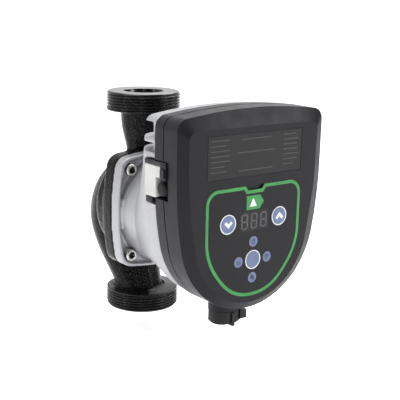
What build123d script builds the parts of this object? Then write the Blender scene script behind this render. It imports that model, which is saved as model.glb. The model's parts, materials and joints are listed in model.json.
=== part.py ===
from build123d import *
from math import cos, radians, sin
import os

os.makedirs("parts", exist_ok=True)

# Driving dimensions, millimetres. The pipe axis is the Z axis, with the lower gasket face at Z = 0.
# "Front" distances are measured from the pipe axis towards the control box, along -Y.
PORT_TO_PORT = 180.0
AXIS_HEIGHT = PORT_TO_PORT / 2
THREAD_MAJOR_R = 29.8
THREAD_PITCH = 2.309
THREAD_DEPTH = 1.35
RING_HEIGHT = 15.5
PORT_BORE_R = 16.0
CASTING_WALL = 5.0

FLANGE_HALF = 47.4
FLANGE_CORNER = 42.6
FLANGE_FILLET = 11.0
SCREW_X = 35.5
SCREW_Z = 34.0
JOINT_PLANE = 26.0
MOTOR_FLANGE_FRONT = 36.0
LAND_FRONT = 32.0
LAND_R = 44.3
MOTOR_R = 42.0

SINK_BACK = 97.0
SINK_FRONT = 109.6
SHELL_BACK = 109.8
SEAM_BACK = 121.0
SEAM_FRONT = 121.8
RIDGE_FRONT = 137.0
FACE_FRONT = 140.5
BOX_HALF = 66.3
BOX_R = 62.3
BOX_CENTRE = 7.8
BOX_TOP = 92.1
BOX_RISE = 4.0
BOX_CORNER = 9.0
BOX_WALL = 3.0

BUTTON_R = 6.1
BUTTON_GAP = 0.2
BEZEL_WIDTH = 0.75
BUTTON_X = 23.9
BUTTON_Z = 11.9
MODE_Z = -17.2
LENS_R = 3.85
LENS_PITCH = 13.4

SHAFT_R = 4.0
BEARING_GAP = 0.05
CAN_R = 24.0

FRONT = Plane(origin=(0, 0, AXIS_HEIGHT), x_dir=(1, 0, 0), z_dir=(0, -1, 0))


def slab(sketch, start, end):
    """Sketch drawn looking at the front, made solid between two front distances."""
    return extrude(FRONT.offset(start) * sketch, amount=end - start)


def disc(radius, start, end):
    return slab(Circle(radius), start, end)


def tube(outer, inner, start, end):
    return slab(Circle(outer) - Circle(inner), start, end)


def level_loft(stations, inset=0.0):
    """Smooth casting through level ellipses: height, y, half width, half depth."""
    return loft([Pos(0, y, z) * Ellipse(rx - inset, ry - inset) for z, y, rx, ry in stations])


def box_between(low, high):
    size = [b - a for a, b in zip(low, high)]
    middle = [(a + b) / 2 for a, b in zip(low, high)]
    return Pos(*middle) * Box(*size)


def bulged_square(inset=0.0):
    """Flange outline: a square with bowed sides and rounded corners."""
    mid = FLANGE_HALF - inset
    end = FLANGE_CORNER - inset
    sides = [
        ThreePointArc((end, -end), (mid, 0), (end, end)),
        ThreePointArc((end, end), (0, mid - 0.8), (-end, end)),
        ThreePointArc((-end, end), (-mid, 0), (-end, -end)),
        ThreePointArc((-end, -end), (0, 0.8 - mid), (end, -end)),
    ]
    face = make_face(sides)
    return fillet(face.vertices(), FLANGE_FILLET - inset / 2)


def shield(half, radius, centre, top, rise, corner):
    """Control box outline: arched top, nearly straight sides and a round bottom."""
    lean = radians(12)
    xa = radius * cos(lean)
    za = centre - radius * sin(lean)
    x1 = half - corner
    z1 = top - rise
    z2 = z1 - corner
    k = corner * cos(radians(45))
    edges = [
        ThreePointArc((-x1, z1), (0, top), (x1, z1)),
        ThreePointArc((x1, z1), (x1 + k, z2 + k), (half, z2)),
        Line((half, z2), (half, 55)),
        Spline((half, 55), (xa, za), tangents=[(0, -1), (-sin(lean), -cos(lean))]),
        ThreePointArc((xa, za), (0, centre - radius), (-xa, za)),
        Spline((-xa, za), (-half, 55), tangents=[(-sin(lean), cos(lean)), (0, 1)]),
        Line((-half, 55), (-half, z2)),
        ThreePointArc((-half, z2), (-x1 - k, z2 + k), (-x1, z1)),
    ]
    return make_face(edges)


def box_outline(inset=0.0):
    return shield(
        BOX_HALF - inset, BOX_R - inset, BOX_CENTRE, BOX_TOP - inset, BOX_RISE, BOX_CORNER - inset / 2
    )


def face_outline(inset=0.0):
    return shield(58.8 - inset, 52.5 - inset, 3.5, 79.7 - inset, 0.5, 6.5 - inset / 2)


def corners(x, z):
    return [(sx * x, sz * z) for sx in (-1, 1) for sz in (-1, 1)]


def threaded_ring(base, flip):
    """Union-thread ring with crest flats and chamfered ends, revolved about the pipe axis."""
    chamfer_h = 1.5
    crest = 0.45
    points = [(0, 0), (THREAD_MAJOR_R - chamfer_h, 0), (THREAD_MAJOR_R, chamfer_h)]
    z = chamfer_h
    while z + THREAD_PITCH < RING_HEIGHT - 0.4:
        points.append((THREAD_MAJOR_R, z + crest))
        points.append((THREAD_MAJOR_R - THREAD_DEPTH, z + (THREAD_PITCH + crest) / 2))
        z += THREAD_PITCH
        points.append((THREAD_MAJOR_R, z))
    points += [(THREAD_MAJOR_R, RING_HEIGHT - 1.0), (THREAD_MAJOR_R - 1.0, RING_HEIGHT), (0, RING_HEIGHT)]
    profile = Plane.XZ * make_face(Polyline(points, close=True))
    ring = revolve(profile, axis=Axis.Z)
    if flip:
        ring = Rot(180, 0, 0) * ring
    return Pos(0, 0, base) * ring


parts = {}

# ---------------------------------------------------------------- volute casting
SUCTION = [
    (6.0, 1.0, 21.0, 21.0),
    (17.0, 6.0, 20.0, 20.0),
    (33.0, 15.6, 23.0, 23.0),
    (50.0, 25.6, 25.6, 25.6),
    (62.0, 31.0, 26.4, 26.4),
    (71.0, 32.8, 26.6, 26.6),
]
SUCTION_BORE = [
    (6.0, 0.0, PORT_BORE_R, PORT_BORE_R),
    (17.0, 4.2, 15.4, 15.4),
    (33.0, 15.6, 18.0, 18.0),
    (50.0, 25.6, 20.4, 20.4),
    (62.0, 31.0, 21.2, 21.2),
    (71.0, 32.8, 21.5, 21.5),
]
DISCHARGE = [
    (174.0, 0.0, 21.5, 21.5),
    (165.0, -1.8, 19.4, 19.4),
    (151.0, -2.7, 19.0, 19.0),
    (143.0, -4.3, 18.4, 17.2),
    (131.0, -7.0, 18.0, 14.5),
    (112.0, -9.0, 24.0, 12.0),
]
DISCHARGE_BORE = [
    (174.0, 0.0, PORT_BORE_R, PORT_BORE_R),
    (165.0, -1.8, 14.8, 14.8),
    (151.0, -2.7, 14.0, 14.0),
    (143.0, -4.3, 13.4, 12.2),
    (131.0, -7.0, 13.0, 9.5),
    (114.0, -10.0, 15.0, 7.0),
]
BEND_Y = 5.5
BEND_Z = 71.0
BEND_R = 27.3


def elbow(radius, reach):
    """Quarter bend that turns the suction passage into the impeller eye."""
    section = Pos(0, BEND_Y + BEND_R, BEND_Z) * Circle(radius)
    bend = revolve(section, axis=Axis((0, BEND_Y, BEND_Z), (1, 0, 0)), revolution_arc=90)
    nose = Plane(origin=(0, BEND_Y, BEND_Z + BEND_R), x_dir=(1, 0, 0), z_dir=(0, -1, 0)) * Circle(radius)
    return bend + extrude(nose, amount=reach)


volute = threaded_ring(0, False) + threaded_ring(PORT_TO_PORT, True)
volute += level_loft(SUCTION)
volute += elbow(26.6, 15.5)
volute += level_loft(DISCHARGE)
back_disc = disc(46.5, -1.5, 14)
back_disc = fillet(back_disc.faces().sort_by(Axis.Y)[-1].edges(), 6.0)
volute += back_disc
flange = slab(bulged_square(), 12.5, JOINT_PLANE)
flange = fillet(flange.faces().sort_by(Axis.Y)[-1].edges(), 2.0)
volute += flange
volute += level_loft(SUCTION, -1.2) & box_between((-1.1, -60, 8), (1.1, 80, 70.9))
volute += level_loft(DISCHARGE, -0.9) & box_between((-0.9, -60, 133), (0.9, 80, 170))
for middle in (3.0, PORT_TO_PORT - 3.0):
    volute -= Pos(0, 0, middle) * Cylinder(PORT_BORE_R, 6.0)
volute -= level_loft(SUCTION_BORE)
volute -= elbow(21.5, 5.5)
volute -= loft([FRONT * Pos(0, 8.3) * Circle(21.5), FRONT.offset(7) * Circle(16.0)])
volute -= level_loft(DISCHARGE_BORE)
volute -= disc(16.0, 7, 10)
volute -= slab(Pos(1.5, 0) * Circle(38.5), 9, 24)
volute -= disc(40.5, 23.6, JOINT_PLANE + 1)
volute -= tube(44.4, 41.6, JOINT_PLANE - 1.8, JOINT_PLANE + 1)
for x, z in corners(SCREW_X, SCREW_Z):
    volute -= slab(Pos(x, z) * Circle(3.05), 14.5, JOINT_PLANE + 1)
parts["volute_housing"] = volute

parts["flange_o_ring"] = Pos(0, -25.1, AXIS_HEIGHT) * Rot(90, 0, 0) * Torus(43.0, 0.88)
parts["neck_ring"] = tube(15.95, 14.6, 7.2, 9.6)

# ---------------------------------------------------------------- motor housing
motor = slab(bulged_square(), JOINT_PLANE, MOTOR_FLANGE_FRONT)
motor = chamfer(motor.faces().sort_by(Axis.Y)[0].edges(), 0.7)
motor -= slab(bulged_square(2.5) - Circle(LAND_R), LAND_FRONT, MOTOR_FLANGE_FRONT + 1)
motor += loft([FRONT.offset(LAND_FRONT - 1) * Circle(LAND_R), FRONT.offset(58) * Circle(MOTOR_R)], ruled=True)
motor += disc(MOTOR_R, 57, SINK_BACK)
motor += loft(
    [FRONT.offset(45) * Pos(0, -5) * Circle(39), FRONT.offset(SINK_BACK) * box_outline(1.6)], ruled=True
)
plate = slab(box_outline(1.2), SINK_BACK, SINK_FRONT)
motor += plate
motor -= slab(box_outline(8.0), 104, SINK_FRONT + 1)
for low, high in ((61.5, 68.0), (71.5, 82.0)):
    for side in (-1, 1):
        gap = RectangleRounded(70, high - low, 1.2)
        motor -= slab(Pos(side * 40, (low + high) / 2) * gap, 40, 100)
        tip = RectangleRounded(20, high - low, 1.2)
        motor -= slab(Pos(side * 70, (low + high) / 2) * tip, 90, SINK_FRONT + 1)
motor -= disc(38.5, JOINT_PLANE - 1, 90)
motor -= disc(40.5, JOINT_PLANE - 1, 27.02)
motor += disc(12, 89, 91)
for x, z in corners(SCREW_X, SCREW_Z):
    motor -= slab(Pos(x, z) * Circle(3.2), JOINT_PLANE - 1, LAND_FRONT + 1)
PORT_LOW = 25.5
PORT_HIGH = 57.6
motor -= box_between((-80, -(SINK_FRONT + 1), AXIS_HEIGHT + PORT_LOW), (-57.5, -98.5, AXIS_HEIGHT + PORT_HIGH))
motor -= slab(Pos(0, -56) * Rectangle(32, 16), 100, SINK_FRONT + 1)

screws = Part()
for x, z in corners(SCREW_X, SCREW_Z):
    head = slab(Pos(x, z) * Circle(4.8), LAND_FRONT, LAND_FRONT + 6)
    head = chamfer(head.faces().sort_by(Axis.Y)[0].edges(), 0.6)
    head -= slab(Pos(x, z) * RegularPolygon(2.9, 6), LAND_FRONT + 2.8, LAND_FRONT + 7)
    screws += head + slab(Pos(x, z) * Circle(3.0), 15.5, LAND_FRONT)
parts["motor_screws"] = screws

# ---------------------------------------------------------------- wet rotor and stator
parts["bearing_plate"] = tube(40.3, 9.2, 24.2, 25.9) + tube(12.0, 9.2, 25.9, 34.0)
can = tube(40.3, CAN_R, 26.0, 27.0) + tube(CAN_R + 0.6, CAN_R, 27.0, 84.0) + disc(CAN_R + 0.6, 84.0, 85.0)
can += tube(12.0, 10.0, 77.0, 84.0)
parts["rotor_can"] = can
parts["front_bearing"] = tube(9.15, SHAFT_R + BEARING_GAP, 25.0, 33.5)
parts["rear_bearing"] = tube(9.95, SHAFT_R + BEARING_GAP, 77.2, 83.9)
parts["thrust_seat"] = tube(9.0, SHAFT_R + 0.4, 33.6, 34.8)
parts["thrust_ring"] = tube(8.5, SHAFT_R, 35.2, 37.0)
shaft = disc(SHAFT_R, 10.5, 82.5)
shaft = chamfer(shaft.faces().filter_by(GeomType.PLANE).edges(), 0.5)
parts["rotor_shaft"] = shaft
parts["rotor_magnets"] = tube(22.8, SHAFT_R, 39.0, 74.0)
parts["rotor_sleeve"] = tube(23.3, 22.8, 38.4, 74.6) + tube(22.8, 8.0, 38.4, 39.0) + tube(22.8, 8.0, 74.0, 74.6)

impeller = tube(14.2, 12.2, 7.4, 12.0) + tube(32.0, 12.2, 12.0, 13.6) + tube(32.0, 8.0, 20.0, 21.8)
impeller += tube(8.0, SHAFT_R, 12.5, 23.4)
blade_arc = CenterArc((14, -16), 16, 95, -87)
blade = SlotArc(blade_arc, 1.8) & Circle(31.8) - Circle(11)
for step in range(7):
    impeller += slab(Rot(0, 0, step * 360 / 7) * blade, 13.2, 20.4)
parts["impeller"] = impeller

slots = Sketch()
coils = Sketch()
for step in range(6):
    turn = Rot(0, 0, step * 60) * Pos(31.2, 0)
    slots += turn * RectangleRounded(9.0, 15.0, 2.5)
    coils += turn * RectangleRounded(8.2, 14.2, 2.3)
parts["stator_core"] = slab(Circle(38.4) - Circle(CAN_R + 0.8) - slots, 38, 74)
parts["stator_insulator"] = slab(Circle(37.6) - Circle(CAN_R + 1.0) - slots, 36, 38) + slab(
    Circle(37.6) - Circle(CAN_R + 1.0) - slots, 74, 76
)
parts["stator_windings"] = slab(coils, 31, 82)

# ---------------------------------------------------------------- control box shells
port_notch = box_between((-80, -126.5, AXIS_HEIGHT + PORT_LOW + 5), (-59.0, -105, AXIS_HEIGHT + PORT_HIGH))
rear = slab(box_outline(), SHELL_BACK + 2.0, SEAM_BACK)
rear += loft(
    [FRONT.offset(SHELL_BACK) * box_outline(1.8), FRONT.offset(SHELL_BACK + 0.7) * box_outline(0.6)], ruled=True
)
rear += loft(
    [FRONT.offset(SHELL_BACK + 0.7) * box_outline(0.6), FRONT.offset(SHELL_BACK + 2.0) * box_outline()],
    ruled=True,
)
rear -= slab(box_outline(BOX_WALL), SHELL_BACK + 2.5, SEAM_BACK + 1)
rear += slab(box_outline(0.5), SHELL_BACK + 2.5, SEAM_BACK) & box_between(
    (-80, -SEAM_BACK, AXIS_HEIGHT + PORT_LOW), (-57.5, -SHELL_BACK - 2, AXIS_HEIGHT + PORT_HIGH + 2.5)
)
rear -= port_notch
rear -= slab(Pos(0, 20) * RectangleRounded(42.6, 32.6, 3), SHELL_BACK - 1, SHELL_BACK + 3)
SOCKET_FRONT = 110.5


def socket_shape(x_size, y_size, low, high):
    """Upright rounded block on the power-socket axis, between two heights."""
    base = Pos(0, -SOCKET_FRONT, low) * RectangleRounded(x_size, y_size, min(x_size, y_size) / 2 - 0.6)
    return extrude(base, amount=high - low)


SOCKET_TOP = 48.0
SOCKET_BOTTOM = 27.5
rear -= socket_shape(26.4, 20.4, 20, SOCKET_TOP + 0.2)
motor -= socket_shape(26.4, 20.4, 20, SOCKET_TOP + 0.2)
parts["motor_housing"] = motor

cover = slab(box_outline(), SEAM_FRONT, RIDGE_FRONT)
bevel = loft(
    [FRONT.offset(RIDGE_FRONT) * box_outline(), FRONT.offset(FACE_FRONT) * face_outline()], ruled=True
)
cover += bevel
cover -= slab(box_outline(BOX_WALL), SEAM_FRONT - 1, RIDGE_FRONT - 2.2)
cover -= slab(face_outline(2.5), RIDGE_FRONT - 3, FACE_FRONT - 3)
cover += slab(box_outline(0.5), SEAM_FRONT, 129.5) & box_between(
    (-80, -129.5, AXIS_HEIGHT + PORT_LOW + 2), (-57.5, -SEAM_FRONT, AXIS_HEIGHT + PORT_HIGH + 2.5)
)
cover -= port_notch
cover -= socket_shape(26.4, 20.4, 20, SOCKET_TOP + 0.2)
POSTS = [(-50, 66), (50, 66), (-42, -14), (42, -14)]
for x, z in POSTS:
    cover += slab(Pos(x, z) * Circle(4.0), SEAM_FRONT, 137.5)
    cover -= slab(Pos(x, z) * Circle(1.6), SEAM_FRONT - 1, 131)
    rear += slab(Pos(x, z) * Circle(4.0), SHELL_BACK + 2, SEAM_BACK)
    rear -= slab(Pos(x, z) * Circle(1.7), SHELL_BACK - 1, SEAM_BACK + 1)
parts["control_rear_shell"] = rear

fasteners = Part()
for x, z in POSTS:
    fasteners += slab(Pos(x, z) * Circle(3.0), SHELL_BACK - 2, SHELL_BACK)
    fasteners += slab(Pos(x, z) * Circle(1.5), SHELL_BACK, 129)
parts["cover_screws"] = fasteners

gasket = slab(box_outline(0.9) - box_outline(2.9), SEAM_BACK + 0.02, SEAM_FRONT - 0.02)
gasket -= port_notch
gasket -= socket_shape(26.8, 20.8, 20, SOCKET_TOP + 0.4)
parts["cover_gasket"] = gasket

# ---------------------------------------------------------------- operating panel
INLAY = 0.6
PROUD = 0.12


def inlay(sketch, proud=PROUD):
    return slab(sketch, FACE_FRONT - INLAY, FACE_FRONT + proud)


def trim_outline(grow):
    """Panel trim outline: flat top with a central dip, round bottom, grown evenly all round."""
    half = 42.6 + grow
    top = 36.2 + grow
    dip = 33.0 + grow
    x1 = 9.4 - grow / 2
    x2 = 7.0 - grow / 2
    mid = (31.2 + 0.72 * grow, -27.0 - 0.69 * grow)
    low = -43.0 - grow
    c = 6.4 + 0.7 * grow
    return make_face(
        [
            Polyline((-33.5, top), (-x1, top), (-x2, dip), (x2, dip), (x1, top), (33.5, top)),
            ThreePointArc((33.5, top), (33.5 + c, 27.0 + c), (half, 27.0)),
            Line((half, 27.0), (half, 3.0)),
            Spline((half, 3.0), mid, (0, low), tangents=[(0, -1), (-1, 0)]),
            Spline((0, low), (-mid[0], mid[1]), (-half, 3.0), tangents=[(-1, 0), (0, 1)]),
            Line((-half, 3.0), (-half, 27.0)),
            ThreePointArc((-half, 27.0), (-33.5 - c, 27.0 + c), (-33.5, top)),
        ]
    )


ring_band = trim_outline(1.2) - trim_outline(-1.2)
parts["panel_ring"] = inlay(ring_band)
plate_shape = Pos(0, 59.6) * Rectangle(86, 30.2)
parts["rating_plate"] = inlay(plate_shape, -0.1)
tag_shape = make_face(Polyline((-7.5, 30.2), (4.6, 30.2), (8.6, 25.2), (4.6, 20.0), (-7.5, 20.0), close=True))
mark_shape = Pos(-1.4, 0) * make_face(Polyline((-3.4, 22.2), (3.4, 22.2), (0, 28.4), close=True))
parts["energy_tag"] = inlay(tag_shape - mark_shape)
parts["energy_mark"] = inlay(mark_shape, PROUD + 0.05)

window_shape = Pos(0, 11.6) * RectangleRounded(27.5, 14.5, 0.8)
bar = make_face(Polyline((-1.9, 0), (-1.4, 0.5), (1.4, 0.5), (1.9, 0), (1.4, -0.5), (-1.4, -0.5), close=True))
one_digit = Sketch()
for level in (-5.1, 0, 5.1):
    one_digit += Pos(0, level) * bar
for side in (-2.45, 2.45):
    for level in (-2.55, 2.55):
        one_digit += Pos(side, level) * Rot(0, 0, 90) * bar
digits = Sketch()
for step in (-1, 0, 1):
    digits += Pos(step * 8.8, 11.6) * one_digit
parts["display_window"] = slab(window_shape - digits, FACE_FRONT - 1.2, FACE_FRONT + 0.02)
parts["digit_segments"] = slab(digits, FACE_FRONT - 1.2, FACE_FRONT + 0.06)

button_spots = {"down_button": (-BUTTON_X, BUTTON_Z), "up_button": (BUTTON_X, BUTTON_Z), "mode_button": (0, MODE_Z)}
lens_spots = [(0, MODE_Z + LENS_PITCH), (0, MODE_Z - LENS_PITCH), (-LENS_PITCH, MODE_Z), (LENS_PITCH, MODE_Z)]
bezel_r = BUTTON_R + BUTTON_GAP

cover -= slab(ring_band, FACE_FRONT - INLAY, FACE_FRONT + 1)
cover -= slab(Pos(0, 59.6) * Rectangle(86.6, 30.8), FACE_FRONT - INLAY, FACE_FRONT + 1)
cover -= slab(tag_shape, FACE_FRONT - INLAY, FACE_FRONT + 1)
cover -= slab(window_shape, FACE_FRONT - 1.2, FACE_FRONT + 1)
cover -= slab(Pos(0, 11.6) * Rectangle(25, 12), FACE_FRONT - 5, FACE_FRONT)
notch_shape = make_face(Polyline((-8.0, 37.6), (8.0, 37.6), (5.9, 34.6), (-5.9, 34.6), close=True))
cover -= slab(notch_shape, FACE_FRONT - 1.4, FACE_FRONT + 1)

bezels = Part()
for name, (x, z) in button_spots.items():
    cover -= slab(Pos(x, z) * Circle(bezel_r), FACE_FRONT - 6, FACE_FRONT + 1)
    cover -= slab(Pos(x, z) * Circle(bezel_r + BEZEL_WIDTH), FACE_FRONT - 1.5, FACE_FRONT + 1)
    bezels += slab(Pos(x, z) * (Circle(bezel_r + BEZEL_WIDTH) - Circle(bezel_r)), FACE_FRONT - 1.5, FACE_FRONT + 0.2)
    cap = slab(Pos(x, z) * Circle(BUTTON_R), 137.9, FACE_FRONT + 0.5)
    cap = fillet(cap.faces().sort_by(Axis.Y)[0].edges(), 0.3)
    cap += slab(Pos(x, z) * Circle(BUTTON_R + 1.2), 136.2, 136.9) + slab(Pos(x, z) * Circle(BUTTON_R), 136.8, 138)
    cap += slab(Pos(x, z) * Circle(1.8), 134.8, 136.4)
    parts[name] = cap
parts["button_bezels"] = bezels

chevron = make_face(
    Polyline((-3.8, 0.9), (-2.2, 2.4), (0, 0.3), (2.2, 2.4), (3.8, 0.9), (0, -2.9), close=True)
)
down_mark = Pos(-BUTTON_X, BUTTON_Z) * chevron
up_mark = Pos(BUTTON_X, BUTTON_Z) * Rot(0, 0, 180) * chevron
for name, mark in (("down_chevron", down_mark), ("up_chevron", up_mark)):
    owner = name.replace("chevron", "button")
    parts[name] = slab(mark, FACE_FRONT + 0.1, FACE_FRONT + 0.58)
    parts[owner] -= slab(mark, FACE_FRONT + 0.1, FACE_FRONT + 1)

lenses = Part()
leds = Part()
for x, z in lens_spots:
    cover -= slab(Pos(x, z) * Circle(LENS_R), FACE_FRONT - 1.5, FACE_FRONT + 1)
    cover -= slab(Pos(x, z) * Circle(2.0), FACE_FRONT - 5, FACE_FRONT)
    lenses += slab(Pos(x, z) * Circle(LENS_R), FACE_FRONT - 1.5, FACE_FRONT + 0.15)
    leds += slab(Pos(x, z) * Rectangle(3.0, 2.0), 133.1, 134.4)
parts["indicator_lenses"] = lenses
parts["indicator_leds"] = leds
parts["control_front_cover"] = cover

# ---------------------------------------------------------------- electronics
parts["display_board"] = slab(Pos(0, -2) * RectangleRounded(66, 54, 6), 131.5, 133.1)
parts["digit_module"] = slab(Pos(0, 11.6) * Rectangle(24.6, 11.6), 133.1, 138.4)
switches = Part()
for x, z in button_spots.values():
    switches += slab(Pos(x, z) * RectangleRounded(6, 6, 0.4), 133.1, 133.9) + slab(Pos(x, z) * Circle(1.7), 133.9, 134.2)
parts["tact_switches"] = switches
board = Pos(0, 14) * RectangleRounded(96, 92, 8)
for x, z in POSTS:
    board -= Pos(x, z) * Circle(5.5)
parts["main_board"] = slab(board, 117.6, 119.2)
parts["power_module"] = slab(Pos(0, 20) * RectangleRounded(40, 30, 1), 106.4, 117.6)
parts["heat_pad"] = slab(Pos(0, 20) * Rectangle(40, 30), 104.0, 106.4)
capacitors = Part()
for x in (-34, -20, -6):
    capacitors += slab(Pos(x, 50) * Circle(6.2), 119.2, 130.5)
capacitors = fillet(capacitors.faces().sort_by(Axis.Y)[0].edges(), 0.8)
parts["board_capacitors"] = capacitors
parts["board_choke"] = slab(Pos(24, 48) * (Circle(11) - Circle(5)), 119.2, 129.0)
parts["board_connector"] = slab(Pos(0, -22) * Rectangle(24, 8), 119.2, 131.4)

# ---------------------------------------------------------------- power socket and plug
socket = socket_shape(26, 20, SOCKET_BOTTOM, SOCKET_TOP) - socket_shape(22.4, 16.4, SOCKET_BOTTOM - 1, 45.5)
pin_spots = [(-6, 0), (0, 0), (6, 0)]
pins = Part()
for x, y in pin_spots:
    pins += Pos(x, y - SOCKET_FRONT, 41.0) * Cylinder(1.2, 13)
    socket -= Pos(x, y - SOCKET_FRONT, 46.5) * Cylinder(1.2, 6)
parts["power_socket"] = socket
parts["socket_pins"] = pins
PLUG_BOTTOM = 17.2
plug = socket_shape(21.8, 15.8, 26, 44.6)
plug += socket_shape(25.4, 19.4, PLUG_BOTTOM + 1.4, SOCKET_BOTTOM - 0.3)
plug += socket_shape(22.4, 16.6, PLUG_BOTTOM, PLUG_BOTTOM + 1.5)
plug += box_between((-1.3, -SOCKET_FRONT - 11.0, 16.0), (1.3, -SOCKET_FRONT + 2, 26.4))
plug += box_between((7.0, -SOCKET_FRONT - 10.4, 20.0), (13.0, -SOCKET_FRONT + 6, 26.8))
for x, y in pin_spots:
    plug -= Pos(x, y - SOCKET_FRONT, 40.0) * Cylinder(1.9, 12)
plug -= Pos(0, 5 - SOCKET_FRONT, 18) * Cylinder(4.6, 14)
parts["plug_body"] = plug
contacts = Part()
for x, y in pin_spots:
    contacts += Pos(x, y - SOCKET_FRONT, 39.2) * (Cylinder(1.88, 10) - Cylinder(1.4, 10))
parts["plug_contacts"] = contacts
parts["cable_seal"] = Pos(0, 5 - SOCKET_FRONT, 20.2) * (Cylinder(4.55, 7) - Cylinder(3.7, 7))

# ---------------------------------------------------------------- signal port on the left side
PORT_X = -59.0
PORT_FACE = -67.2


def port_block(x_out, start, end, low, high, radius):
    """Block on the left side between two front distances and two heights, with eased vertical edges."""
    outline = Pos(-(start + end) / 2, AXIS_HEIGHT + (low + high) / 2) * RectangleRounded(end - start, high - low, radius)
    side = Plane(origin=(PORT_X, 0, 0), x_dir=(0, 1, 0), z_dir=(1, 0, 0))
    return extrude(side * outline, amount=x_out - PORT_X)


housing = port_block(PORT_FACE, 100.3, 114.4, 31.2, 53.6, 2.5) + port_block(PORT_FACE, 105.0, 119.4, 45.6, 53.6, 1.5)
housing = fillet(housing.faces().sort_by(Axis.X)[0].edges(), 1.2)
parts["signal_connector"] = housing
shroud = port_block(PORT_FACE + 0.5, 100.0, 120.5, 53.8, 56.8, 0.9)
shroud += port_block(PORT_FACE - 0.4, 119.6, 126.2, 45.0, 57.2, 1.0)
shroud += port_block(PORT_FACE + 0.8, 101.5, 109.6, 26.5, 31.0, 1.2)
parts["signal_shroud"] = shroud
clip = port_block(PORT_FACE - 1.4, 120.6, 125.2, 46.4, 52.6, 0.8)
parts["signal_shroud"] -= clip
parts["signal_latch"] = clip
boss_axis = Plane(
    origin=(-60.2, -120.6, AXIS_HEIGHT + 38.4), x_dir=(0, 1, 0), z_dir=(-1, 0, 0)
)
plug_cap = extrude(boss_axis * Circle(5.1), amount=7.6)
plug_cap = fillet(plug_cap.faces().sort_by(Axis.X)[0].edges(), 2.6)
parts["blanking_plug"] = plug_cap

for name, solid in parts.items():
    export_step(solid, f"parts/{name}.step")
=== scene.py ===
import json
import math
import random

import bmesh
import bpy
from mathutils import Matrix, Vector, noise


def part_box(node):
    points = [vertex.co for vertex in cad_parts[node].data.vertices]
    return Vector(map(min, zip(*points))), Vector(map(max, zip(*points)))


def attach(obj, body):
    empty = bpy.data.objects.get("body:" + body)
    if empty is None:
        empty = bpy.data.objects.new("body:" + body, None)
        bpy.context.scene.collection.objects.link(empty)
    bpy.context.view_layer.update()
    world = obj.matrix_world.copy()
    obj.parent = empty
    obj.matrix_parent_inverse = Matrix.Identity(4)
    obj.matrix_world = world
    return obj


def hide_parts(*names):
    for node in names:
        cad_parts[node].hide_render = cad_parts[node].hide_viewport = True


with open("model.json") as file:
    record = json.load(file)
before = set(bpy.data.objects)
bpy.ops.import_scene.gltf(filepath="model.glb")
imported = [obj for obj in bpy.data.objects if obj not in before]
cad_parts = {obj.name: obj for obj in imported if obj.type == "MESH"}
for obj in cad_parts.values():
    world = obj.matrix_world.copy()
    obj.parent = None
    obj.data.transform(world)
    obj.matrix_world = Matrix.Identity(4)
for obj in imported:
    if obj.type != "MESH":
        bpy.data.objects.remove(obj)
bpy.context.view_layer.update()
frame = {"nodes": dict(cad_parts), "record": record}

MM = 0.001
AXIS_HEIGHT = 90.0
PORT_TO_PORT = 180.0
PORT_BORE_R = 16.0
FLOOR_LEVEL = -0.02
RANGE_INPUTS = ("From Min", "From Max", "To Min", "To Max")

SCREW_X = 35.5
SCREW_Z = 34.0
HEAD_BACK = 32.0
HEAD_FRONT = 38.0

WINDOW_Z = 11.6
DIGIT_PITCH = 8.8
SEGMENT_RISE = 5.1
SEGMENT_SIDE = 2.45
MODE_Z = -17.2
LENS_PITCH = 13.4


# ------------------------------------------------------------------ camera, light and floor
def add_camera():
    forward = Vector((0.59863, 0.76784, -0.22819)).normalized()
    right = forward.cross(Vector((0, 0, 1))).normalized()
    up = right.cross(forward)
    roll = math.radians(1.27)
    rolled_right = math.cos(roll) * right + math.sin(roll) * up
    rolled_up = math.cos(roll) * up - math.sin(roll) * right
    data = bpy.data.cameras.new("camera")
    data.lens = 81.47
    data.sensor_width = 36.0
    data.clip_start = 0.01
    data.clip_end = 50.0
    camera = bpy.data.objects.new("camera", data)
    bpy.context.collection.objects.link(camera)
    pose = Matrix((rolled_right, rolled_up, -forward)).transposed().to_4x4()
    pose.translation = Vector((-0.41366, -0.60811, 0.26174))
    camera.matrix_world = pose
    bpy.context.scene.camera = camera


def add_light(name, place, aim, size, power, colour=(1, 1, 1)):
    data = bpy.data.lights.new(name, "AREA")
    data.shape = "RECTANGLE"
    data.size, data.size_y = size
    data.energy = power
    data.color = colour
    lamp = bpy.data.objects.new(name, data)
    bpy.context.collection.objects.link(lamp)
    lamp.location = place
    lamp.rotation_mode = "QUATERNION"
    lamp.rotation_quaternion = (Vector(aim) - Vector(place)).to_track_quat("-Z", "Y")


def add_world():
    """White behind the object and dim in front of it, so that dark parts stay dark."""
    world = bpy.data.worlds.new("studio")
    world.use_nodes = True
    tree = world.node_tree
    back = tree.nodes["Background"]
    back.inputs["Color"].default_value = (1, 1, 1, 1)
    direction = tree.nodes.new("ShaderNodeSeparateXYZ")
    fade = tree.nodes.new("ShaderNodeMapRange")
    for key, value in zip(RANGE_INPUTS, (0.10, 0.48, 0.12, 1.05)):
        fade.inputs[key].default_value = value
    tree.links.new(tree.nodes.new("ShaderNodeTexCoord").outputs["Generated"], direction.inputs["Vector"])
    tree.links.new(direction.outputs["Y"], fade.inputs["Value"])
    tree.links.new(fade.outputs["Result"], back.inputs["Strength"])
    bpy.context.scene.world = world
    bpy.context.scene.view_settings.view_transform = "Standard"


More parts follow.
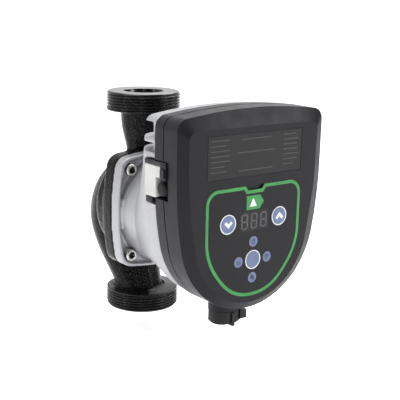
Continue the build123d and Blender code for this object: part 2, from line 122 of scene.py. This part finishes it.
def add_lights():
    add_light("overhead", (0.0, 0.15, 1.3), (0, -0.05, 0.1), (1.0, 0.8), 14)
    add_light("side_left", (-1.25, 0.15, 0.50), (0, -0.02, 0.1), (0.07, 1.1), 4)
    add_light("top_right", (0.95, 0.25, 1.25), (0, -0.1, 0.15), (0.8, 0.7), 12)
    add_light("front_left", (-0.9, -1.2, 0.5), (0, -0.1, 0.1), (0.3, 0.9), 1.5)
    add_light("front_right", (0.95, -1.30, 0.44), (0, -0.1, 0.1), (0.6, 0.32), 10)


def add_floor():
    bm = bmesh.new()
    rings = []
    for radius in (0.02, 0.6, 2.0, 6.0, 20.0):
        ring = [(radius * math.cos(a), radius * math.sin(a), FLOOR_LEVEL) for a in turns(64)]
        rings.append([bm.verts.new(point) for point in ring])
    for inner, outer in zip(rings, rings[1:]):
        bridge(bm, inner, outer)
    bm.faces.new(rings[0])
    floor = to_object("floor", bm)
    floor.data.materials.append(floor_material())


# ------------------------------------------------------------------ mesh helpers
def turns(count):
    return [2 * math.pi * k / count for k in range(count)]


def bridge(bm, a, b):
    for k in range(len(a)):
        j = (k + 1) % len(a)
        bm.faces.new((a[k], a[j], b[j], b[k]))


def to_object(name, bm, smooth=True):
    bmesh.ops.recalc_face_normals(bm, faces=bm.faces)
    mesh = bpy.data.meshes.new(name)
    bm.to_mesh(mesh)
    bm.free()
    for face in mesh.polygons:
        face.use_smooth = smooth
    obj = bpy.data.objects.new(name, mesh)
    bpy.context.collection.objects.link(obj)
    return obj


def apply_modifiers(obj):
    bpy.context.view_layer.update()
    graph = bpy.context.evaluated_depsgraph_get()
    mesh = bpy.data.meshes.new_from_object(obj.evaluated_get(graph))
    old = obj.data
    obj.modifiers.clear()
    obj.data = mesh
    bpy.data.meshes.remove(old)
    return obj


def copy_of(node, name):
    obj = bpy.data.objects.new(name, frame["nodes"][node].data.copy())
    bpy.context.collection.objects.link(obj)
    obj.data.materials.clear()
    bm = bmesh.new()
    bm.from_mesh(obj.data)
    bmesh.ops.remove_doubles(bm, verts=bm.verts, dist=1e-6)
    bm.to_mesh(obj.data)
    bm.free()
    return obj


def finish_piece(obj, material, body, replaced=()):
    obj.data.materials.clear()
    obj.data.materials.append(material)
    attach(obj, body)
    if replaced:
        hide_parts(*replaced)
    return obj


# ------------------------------------------------------------------ materials
class Shader:
    """Short way to write a Principled material with its procedural detail."""

    def __init__(self, name, colour, rough, metal=0.0):
        self.mat = bpy.data.materials.new(name)
        self.mat.use_nodes = True
        self.tree = self.mat.node_tree
        self.out = self.tree.nodes["Principled BSDF"]
        self.out.inputs["Base Color"].default_value = (*colour, 1)
        self.out.inputs["Roughness"].default_value = rough
        self.out.inputs["Metallic"].default_value = metal
        self.colour = colour
        self.rough = rough
        self.coords = self.tree.nodes.new("ShaderNodeTexCoord").outputs["Object"]
        self.height = None

    def node(self, kind, **values):
        made = self.tree.nodes.new(kind)
        for key, value in values.items():
            made.inputs[key].default_value = value
        return made

    def link(self, a, b):
        self.tree.links.new(a, b)

    def noise(self, scale, detail=3.0, rough=0.55, stretch=None):
        tex = self.node("ShaderNodeTexNoise", Scale=scale, Detail=detail, Roughness=rough)
        source = self.coords
        if stretch:
            mapping = self.node("ShaderNodeMapping", Scale=stretch)
            self.link(source, mapping.inputs["Vector"])
            source = mapping.outputs["Vector"]
        self.link(source, tex.inputs["Vector"])
        return tex.outputs["Fac"]

    def cells(self, scale):
        tex = self.node("ShaderNodeTexVoronoi", Scale=scale)
        self.link(self.coords, tex.inputs["Vector"])
        return tex.outputs["Distance"]

    def ramp(self, source, low, high, value_low, value_high):
        made = self.node("ShaderNodeMapRange")
        for key, value in zip(RANGE_INPUTS, (low, high, value_low, value_high)):
            made.inputs[key].default_value = value
        self.link(source, made.inputs["Value"])
        return made.outputs["Result"]

    def mottle(self, source, amount, tint=None):
        """Varies the base colour between a darker and a lighter version of itself."""
        mix = self.tree.nodes.new("ShaderNodeMix")
        mix.data_type = "RGBA"
        dark = [c * (1 - amount) for c in self.colour]
        light = [min(1, c * (1 + amount)) for c in (tint or self.colour)]
        mix.inputs["A"].default_value = (*dark, 1)
        mix.inputs["B"].default_value = (*light, 1)
        self.link(self.ramp(source, 0.3, 0.7, 0, 1), mix.inputs["Factor"])
        self.link(mix.outputs["Result"], self.out.inputs["Base Color"])
        return self

    def shine(self, source, spread):
        low, high = self.rough - spread, self.rough + spread
        self.link(self.ramp(source, 0.3, 0.7, low, high), self.out.inputs["Roughness"])
        return self

    def bump(self, source, strength, depth):
        made = self.node("ShaderNodeBump", Strength=strength, Distance=depth)
        self.link(source, made.inputs["Height"])
        if self.height:
            self.link(self.height, made.inputs["Normal"])
        self.height = made.outputs["Normal"]
        self.link(self.height, self.out.inputs["Normal"])
        return self

    def set(self, **values):
        for key, value in values.items():
            self.out.inputs[key.replace("_", " ")].default_value = value
        return self


def plastic(name, colour, rough, grain=2600.0, depth=0.00003, specular=0.22):
    s = Shader(name, colour, rough)
    s.set(Specular_IOR_Level=specular)
    s.mottle(s.noise(60, 4), 0.10)
    s.shine(s.noise(220, 3), 0.06)
    s.bump(s.noise(grain, 2), 0.35, depth)
    return s.mat


def metal(name, colour, rough, lines=None):
    s = Shader(name, colour, rough, 1.0)
    s.mottle(s.noise(150, 4), 0.10)
    s.shine(s.noise(400, 4), 0.08)
    s.bump(s.noise(1800, 3, stretch=lines), 0.25, 0.00002)
    return s.mat


def ring_material():
    s = Shader("cast_black_ring", (0.005, 0.005, 0.0055), 0.24)
    s.mottle(s.noise(90, 4), 0.25)
    s.shine(s.noise(500, 3), 0.08)
    s.bump(s.noise(900, 3), 0.04, 0.00004)
    s.set(Specular_IOR_Level=0.35)
    return s.mat


def floor_material():
    s = Shader("floor", (0.93, 0.93, 0.93), 0.75)
    s.mottle(s.noise(3, 2), 0.01)
    s.shine(s.noise(12, 2), 0.04)
    s.set(Emission_Color=(1, 1, 1, 1), Emission_Strength=0.58)
    return s.mat


def cast_iron_material():
    s = Shader("cast_black", (0.0020, 0.0020, 0.0022), 0.20)
    # Painted highlights: sparse light specks in the base colour stand in for glints of light on the sand
    # grains.
    painted_glint_specks = s.ramp(s.noise(1000, 2), 0.55, 0.70, 0.3, 0.7)
    s.mottle(painted_glint_specks, 0.2, (0.045, 0.045, 0.047))
    s.shine(s.noise(500, 4), 0.08)
    s.bump(s.noise(160, 4), 0.30, 0.0005)
    s.bump(s.cells(700), 0.60, 0.0003)
    s.bump(s.noise(1100, 3), 0.40, 0.0002)
    s.set(Specular_IOR_Level=0.10)
    return s.mat


def machined_material():
    s = Shader("machined_face", (0.22, 0.223, 0.23), 0.34, 0.8)
    s.mottle(s.noise(300, 4), 0.12)
    s.shine(s.noise(700, 3), 0.08)
    s.bump(s.noise(2400, 2), 0.2, 0.00002)
    return s.mat


def aluminium_material():
    s = Shader("blasted_aluminium", (0.36, 0.363, 0.38), 0.42, 0.55)
    s.mottle(s.noise(35, 5), 0.05)
    s.mottle(s.noise(1300, 3), 0.08)
    s.shine(s.noise(260, 4), 0.06)
    s.bump(s.noise(60, 3), 0.10, 0.0004)
    s.bump(s.noise(1700, 3), 0.50, 0.00008)
    return s.mat


def box_material():
    s = Shader("box_black", (0.0120, 0.0115, 0.0145), 0.36)
    s.mottle(s.noise(40, 4), 0.08)
    s.shine(s.noise(120, 4), 0.05)
    s.bump(s.cells(2300), 0.25, 0.00004)
    s.bump(s.noise(4200, 2), 0.30, 0.00003)
    s.set(Specular_IOR_Level=0.15)
    return s.mat


MATERIALS = {
    "cast_black_ring": ring_material(),
    "machined": machined_material(),
    "cast_black": cast_iron_material(),
    "seal_rubber": plastic("seal_rubber", (0.012, 0.012, 0.012), 0.6),
    "stainless": metal("stainless", (0.56, 0.55, 0.53), 0.28),
    "ceramic": plastic("ceramic", (0.8, 0.78, 0.74), 0.25),
    "carbon": plastic("carbon", (0.03, 0.03, 0.03), 0.4),
    "magnet": plastic("magnet", (0.05, 0.05, 0.055), 0.5),
    "impeller_plastic": plastic("impeller_plastic", (0.06, 0.06, 0.065), 0.5),
    "core_steel": metal("core_steel", (0.3, 0.31, 0.32), 0.42, (1, 12, 1)),
    "copper": metal("copper", (0.7, 0.28, 0.12), 0.3, (1, 6, 1)),
    "aluminium": aluminium_material(),
    "box_black": box_material(),
    "plug_black": plastic("plug_black", (0.008, 0.008, 0.009), 0.4),
    "ring_green": plastic("ring_green", (0.05, 0.26, 0.075), 0.42),
    "white_print": plastic("white_print", (0.75, 0.77, 0.80), 0.4),
    "button_blue": plastic("button_blue", (0.15, 0.185, 0.31), 0.45),
    "plate_black": plastic("plate_black", (0.012, 0.012, 0.013), 0.40, 1800),
    "digit_grey": plastic("digit_grey", (0.022, 0.022, 0.023), 0.35),
    "segment_line": plastic("segment_line", (0.27, 0.27, 0.28), 0.5),
    "plate_print": plastic("plate_print", (0.050, 0.050, 0.053), 0.5),
    "glyph_dark": plastic("glyph_dark", (0.02, 0.025, 0.06), 0.5),
    "board_green": plastic("board_green", (0.02, 0.14, 0.05), 0.35),
    "connector_white": plastic("connector_white", (0.54, 0.54, 0.53), 0.45),
    "switch_grey": plastic("switch_grey", (0.25, 0.25, 0.27), 0.5),
    "contact_brass": metal("contact_brass", (0.75, 0.55, 0.22), 0.25),
}
for entry in frame["record"]["subparts"]:
    shown = frame["nodes"][entry["node"]]
    shown.data.materials.clear()
    shown.data.materials.append(MATERIALS[entry["material_slot"]])

# ------------------------------------------------------------------ cast volute and union rings
THREAD_R = 29.8
THREAD_PITCH = 2.309
THREAD_DEPTH = 1.45
RING_HEIGHT = 15.5


def volute_casting():
    """The casting with soft foundry edges: the CAD volute remeshed, smoothed and given an uneven skin."""
    obj = copy_of("volute_housing", "volute_casting")
    remesh = obj.modifiers.new("remesh", "REMESH")
    remesh.mode = "VOXEL"
    remesh.voxel_size = 0.00095
    soft = obj.modifiers.new("soft", "SMOOTH")
    soft.factor = 0.6
    soft.iterations = 10
    apply_modifiers(obj)
    bm = bmesh.new()
    bm.from_mesh(obj.data)
    ends = [v for v in bm.verts if v.co.z < 0.0135 or v.co.z > 0.1665]
    bmesh.ops.delete(bm, geom=ends, context="VERTS")
    bm.normal_update()
    for v in bm.verts:
        rough = noise.noise(v.co * 260) * 0.00010 + noise.noise(v.co * 620) * 0.00009
        if v.co.y > -0.0245:
            v.co += v.normal * rough
    bm.to_mesh(obj.data)
    bm.free()
    for face in obj.data.polygons:
        face.use_smooth = True
    return obj


def union_ring(name, base, sign):
    """One union ring: helical thread outside, chamfers, gasket face and the start of the bore."""
    around = 192
    bm = bmesh.new()

    def radius_at(height, angle):
        turn = (height / THREAD_PITCH - sign * angle / (2 * math.pi)) % 1.0
        wave = abs(turn - 0.5) * 2
        cut = THREAD_DEPTH * min(1.0, max(0.0, (1 - wave) * 1.25 - 0.12))
        fade = min(1.0, max(0.0, (RING_HEIGHT - 0.9 - height) / 1.2))
        return THREAD_R - cut * fade

    def ring(radius, height):
        return [
            bm.verts.new(
                (radius * math.cos(a) * MM, radius * math.sin(a) * MM, (base + sign * height) * MM)
            )
            for a in turns(around)
        ]

    rows = []
    bore = PORT_BORE_R
    inner = [(bore, 16.0), (bore, 6.0), (bore, 0.9), (bore + 0.25, 0.35), (bore + 0.8, 0.0)]
    rows += [ring(r, h) for r, h in inner]
    face_rings = [(17.5, 0.0), (20.5, 0.0), (24.0, 0.0), (26.8, 0.0), (27.8, 0.0)]
    rows += [ring(r, h) for r, h in face_rings]
    steps = 72
    for k in range(steps + 1):
        height = 0.25 + (RING_HEIGHT - 0.7) * k / steps
        row = []
        for a in turns(around):
            lead = min(0.0, height - 1.7) * 0.95
            r = min(radius_at(height, a), THREAD_R + lead)
            point = (r * math.cos(a), r * math.sin(a), base + sign * height)
            row.append(bm.verts.new([c * MM for c in point]))
        rows.append(row)
    shoulder = [(29.3, -0.2), (28.6, 0.0), (24.0, 0.1), (19.0, 1.2)]
    rows += [ring(r, RING_HEIGHT + h) for r, h in shoulder]
    for a, b in zip(rows, rows[1:]):
        bridge(bm, a, b)
    bmesh.ops.recalc_face_normals(bm, faces=bm.faces)
    obj = to_object(name, bm)
    obj.data.materials.append(MATERIALS["cast_black_ring"])
    obj.data.materials.append(MATERIALS["machined"])
    for face in obj.data.polygons:
        middle = face.center / MM
        r = math.hypot(middle.x, middle.y)
        flat = abs(middle.z - base) < 0.3
        if flat and r < 28.3:
            face.material_index = 1
    return obj


# ------------------------------------------------------------------ motor casting and its screws
def motor_casting():
    obj = copy_of("motor_housing", "motor_casting")
    remesh = obj.modifiers.new("remesh", "REMESH")
    remesh.mode = "VOXEL"
    remesh.voxel_size = 0.0009
    soft = obj.modifiers.new("soft", "SMOOTH")
    soft.factor = 0.5
    soft.iterations = 3
    apply_modifiers(obj)
    for face in obj.data.polygons:
        face.use_smooth = True
    return obj


def socket_screws():
    """Four socket-head cap screws with knurled heads and hexagon recesses."""
    bm = bmesh.new()
    knurls = 36
    around = knurls * 4
    for x in (-SCREW_X, SCREW_X):
        for z in (-SCREW_Z, SCREW_Z):

            def loop(front, radius_of):
                return [
                    bm.verts.new(
                        (
                            (x + radius_of(a) * math.cos(a)) * MM,
                            -front * MM,
                            (AXIS_HEIGHT + z + radius_of(a) * math.sin(a)) * MM,
                        )
                    )
                    for a in turns(around)
                ]

            def knurled(a):
                return 4.8 - 0.16 * (0.5 + 0.5 * math.cos(knurls * a))

            def hexagon(size):
                def radius(a):
                    sector = (a + 0.3) % (math.pi / 3) - math.pi / 6
                    return size / math.cos(sector)

                return radius

            profile = [
                (HEAD_BACK - 0.1, lambda a: 4.6),
                (HEAD_BACK + 0.2, knurled),
                (HEAD_FRONT - 1.0, knurled),
                (HEAD_FRONT - 0.65, lambda a: 4.66),
                (HEAD_FRONT - 0.15, lambda a: 4.2),
                (HEAD_FRONT, lambda a: 3.8),
                (HEAD_FRONT, lambda a: 3.1),
                (HEAD_FRONT - 0.2, hexagon(2.62)),
                (HEAD_FRONT - 0.5, hexagon(2.5)),
                (HEAD_FRONT - 3.0, hexagon(2.5)),
                (HEAD_FRONT - 3.6, lambda a: 1.2),
            ]
            rows = [loop(front, shape) for front, shape in profile]
            for a, b in zip(rows, rows[1:]):
                bridge(bm, a, b)
            bm.faces.new(rows[-1])
            bm.faces.new(list(reversed(rows[0])))
    return to_object("socket_screws", bm)



# ------------------------------------------------------------------ front cover and panel print
def rounded_copy(node, name, width, segments=3):
    """The CAD shape with small moulded radii on its sharp edges."""
    obj = copy_of(node, name)
    bm = bmesh.new()
    bm.from_mesh(obj.data)
    flat = math.radians(2)
    bmesh.ops.dissolve_limit(bm, angle_limit=flat, verts=bm.verts, edges=bm.edges, delimit={"NORMAL"})
    bm.to_mesh(obj.data)
    bm.free()
    bevel = obj.modifiers.new("bevel", "BEVEL")
    bevel.width = width
    bevel.segments = segments
    bevel.limit_method = "ANGLE"
    bevel.angle_limit = math.radians(28)
    bevel.use_clamp_overlap = True
    bevel.harden_normals = False
    tidy = obj.modifiers.new("weighted", "WEIGHTED_NORMAL")
    tidy.keep_sharp = True
    apply_modifiers(obj)
    for face in obj.data.polygons:
        face.use_smooth = abs(face.normal.y) < 0.9995
    return obj


def strokes(name, lines, front, width, depth=0.00006):
    """Raised print: each line is a list of (x, z) points about the motor axis, in mm."""
    bm = bmesh.new()
    for line in lines:
        for (x1, z1), (x2, z2) in zip(line, line[1:]):
            along = Vector((x2 - x1, z2 - z1))
            if along.length == 0:
                continue
            along.normalize()
            side = Vector((-along.y, along.x)) * width / 2
            tip = along * width * 0.45
            corners = [
                (x1 + side.x - tip.x, z1 + side.y - tip.y),
                (x1 - side.x - tip.x, z1 - side.y - tip.y),
                (x2 - side.x + tip.x, z2 - side.y + tip.y),
                (x2 + side.x + tip.x, z2 + side.y + tip.y),
            ]
            low = [bm.verts.new((x * MM, -front * MM, (AXIS_HEIGHT + z) * MM)) for x, z in corners]
            high = [bm.verts.new((v.co.x, v.co.y - depth, v.co.z)) for v in low]
            bridge(bm, low, high)
            bm.faces.new(high)
            bm.faces.new(low)
    return to_object(name, bm, smooth=False)


def arc(x, z, radius, start, end, count=14):
    """Points along an arc between two angles in degrees."""
    points = []
    for k in range(count + 1):
        angle = math.radians(start + (end - start) * k / count)
        points.append((x + radius * math.cos(angle), z + radius * math.sin(angle)))
    return points

casting = finish_piece(volute_casting(), MATERIALS["cast_black"], "pump")
lower_ring = union_ring("lower_union_ring", 0.0, 1)
upper_ring = union_ring("upper_union_ring", PORT_TO_PORT, -1)
for ring in (lower_ring, upper_ring):
    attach(ring, "pump")
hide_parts("volute_housing")
motor = finish_piece(motor_casting(), MATERIALS["aluminium"], "pump", ("motor_housing",))
screws = finish_piece(socket_screws(), MATERIALS["stainless"], "pump", ("motor_screws",))
# Painted shade: the faces inside the hexagon sockets take the near-black seal_rubber material.
screws.data.materials.append(MATERIALS["seal_rubber"])
for face in screws.data.polygons:
    middle = face.center / MM
    reach = math.hypot(abs(middle.x) - SCREW_X, abs(middle.z - AXIS_HEIGHT) - SCREW_Z)
    if reach < 2.7 and -37.7 < middle.y < -33:
        face.material_index = 1
for node, width, slot in (
    ("control_front_cover", 0.0007, "box_black"),
    ("signal_shroud", 0.0004, "box_black"),
    ("signal_connector", 0.0004, "connector_white"),
    ("plug_body", 0.0005, "plug_black"),
    ("power_socket", 0.0004, "box_black"),
):
    body = "plug" if node == "plug_body" else "pump"
    soft = rounded_copy(node, node + "_moulded", width)
    finish_piece(soft, MATERIALS[slot], body, (node,))


def front_of(node):
    """How far the front of a CAD node stands towards the panel side, in mm."""
    return -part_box(node)[0][1] / MM


def segment_outlines():
    """Thin outlines round the unlit display segments."""
    lines = []
    for x in (-DIGIT_PITCH, 0.0, DIGIT_PITCH):
        for dx, dz, upright in (
            (0, SEGMENT_RISE, False),
            (0, 0, False),
            (0, -SEGMENT_RISE, False),
            (-SEGMENT_SIDE, SEGMENT_RISE / 2, True),
            (SEGMENT_SIDE, SEGMENT_RISE / 2, True),
            (-SEGMENT_SIDE, -SEGMENT_RISE / 2, True),
            (SEGMENT_SIDE, -SEGMENT_RISE / 2, True),
        ):
            long, wide = 2.1, 0.42
            hexagon = [(-long, 0), (-long + wide, wide), (long - wide, wide), (long, 0)]
            hexagon += [(long - wide, -wide), (-long + wide, -wide), (-long, 0)]
            if upright:
                hexagon = [(b, a) for a, b in hexagon]
            lines.append([(x + dx + a, WINDOW_Z + dz + b) for a, b in hexagon])
    return strokes("segment_outlines", lines, front_of("digit_segments"), 0.16)


def lens_glyphs():
    """Small generic signs on the four indicator lenses: a ring, two dials and a wave."""
    up, down = MODE_Z + LENS_PITCH, MODE_Z - LENS_PITCH
    right, left = LENS_PITCH, -LENS_PITCH
    lines = [arc(0, up - 0.3, 1.35, 0, 360), [(-1.5, up + 1.3), (1.5, up + 1.3)]]
    lines += [arc(right, MODE_Z, 1.6, 20, 300)]
    lines += [[(right, MODE_Z), (right, MODE_Z + 1.1)], [(right, MODE_Z), (right + 0.9, MODE_Z)]]
    lines += [arc(left, MODE_Z, 1.6, 150, 430), [(left - 1.1, MODE_Z), (left + 1.1, MODE_Z)]]
    for level in (-0.9, 0.2, 1.3):
        crest = arc(-0.9, down + level, 0.75, 180, 20, 8)
        trough = arc(0.7, down + level, 0.75, 160, 340, 8)
        lines += [crest + trough]
    return strokes("lens_glyphs", lines, front_of("indicator_lenses"), 0.42)


def plate_print():
    """Faint generic bars in the places of the printed lines; no lettering."""
    rng = random.Random(4)
    lines = []
    for left, right in ((-40.0, -24.0), (26.0, 40.0)):
        for k in range(7):
            z = 71.5 - 3.6 * k
            stop = right - rng.uniform(0, 5)
            x = left
            while x < stop:
                step = rng.uniform(1.2, 3.4)
                lines.append([(x, z), (min(x + step, stop), z)])
                x += step + 0.8
    for z, half in ((71.0, 13.0), (61.8, 17.0), (49.0, 15.0)):
        x = -half
        while x < half:
            step = rng.uniform(1.6, 3.2)
            lines.append([(x, z), (min(x + step, half), z)])
            x += step + 0.9
    return strokes("plate_print", lines, front_of("rating_plate"), 0.9, 0.00003)


finish_piece(segment_outlines(), MATERIALS["segment_line"], "pump")
finish_piece(lens_glyphs(), MATERIALS["glyph_dark"], "pump")
finish_piece(plate_print(), MATERIALS["plate_print"], "pump")

add_camera()
add_world()
add_lights()
add_floor()
